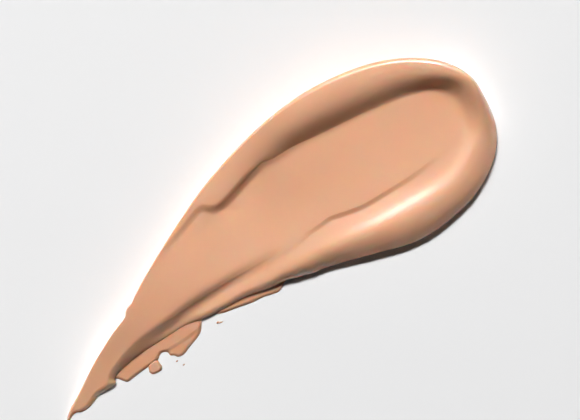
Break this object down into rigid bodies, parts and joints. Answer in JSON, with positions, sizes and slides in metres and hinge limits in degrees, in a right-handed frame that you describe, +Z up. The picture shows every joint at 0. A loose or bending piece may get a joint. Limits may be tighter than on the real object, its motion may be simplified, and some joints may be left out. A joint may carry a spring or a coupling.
{
  "type": "foundation smear",
  "caption": "Swipe of liquid foundation on a flat surface: thin tail, pressed trough and a thick rounded rim around a wide head, with torn thin edges.",
  "frame": {"origin": "centre of the footprint, on the flat underside", "axes": "+X from the tail to the head, +Y towards the steep rim's side, +Z up"},
  "size_m": [0.067, 0.024, 0.0052],
  "materials": {
    "cream": "wet, glossy beige cream",
    "thin_cream": "thin beige cream, duller than the body"
  },
  "bodies": {
    "root": {"smear_body": "cream", "tail_ledge": "thin_cream", "edge_film": "thin_cream", "torn_nub": "thin_cream", "stray_flake": "thin_cream", "stray_speck_1": "thin_cream", "stray_speck_2": "thin_cream"}
  },
  "joints": []
}
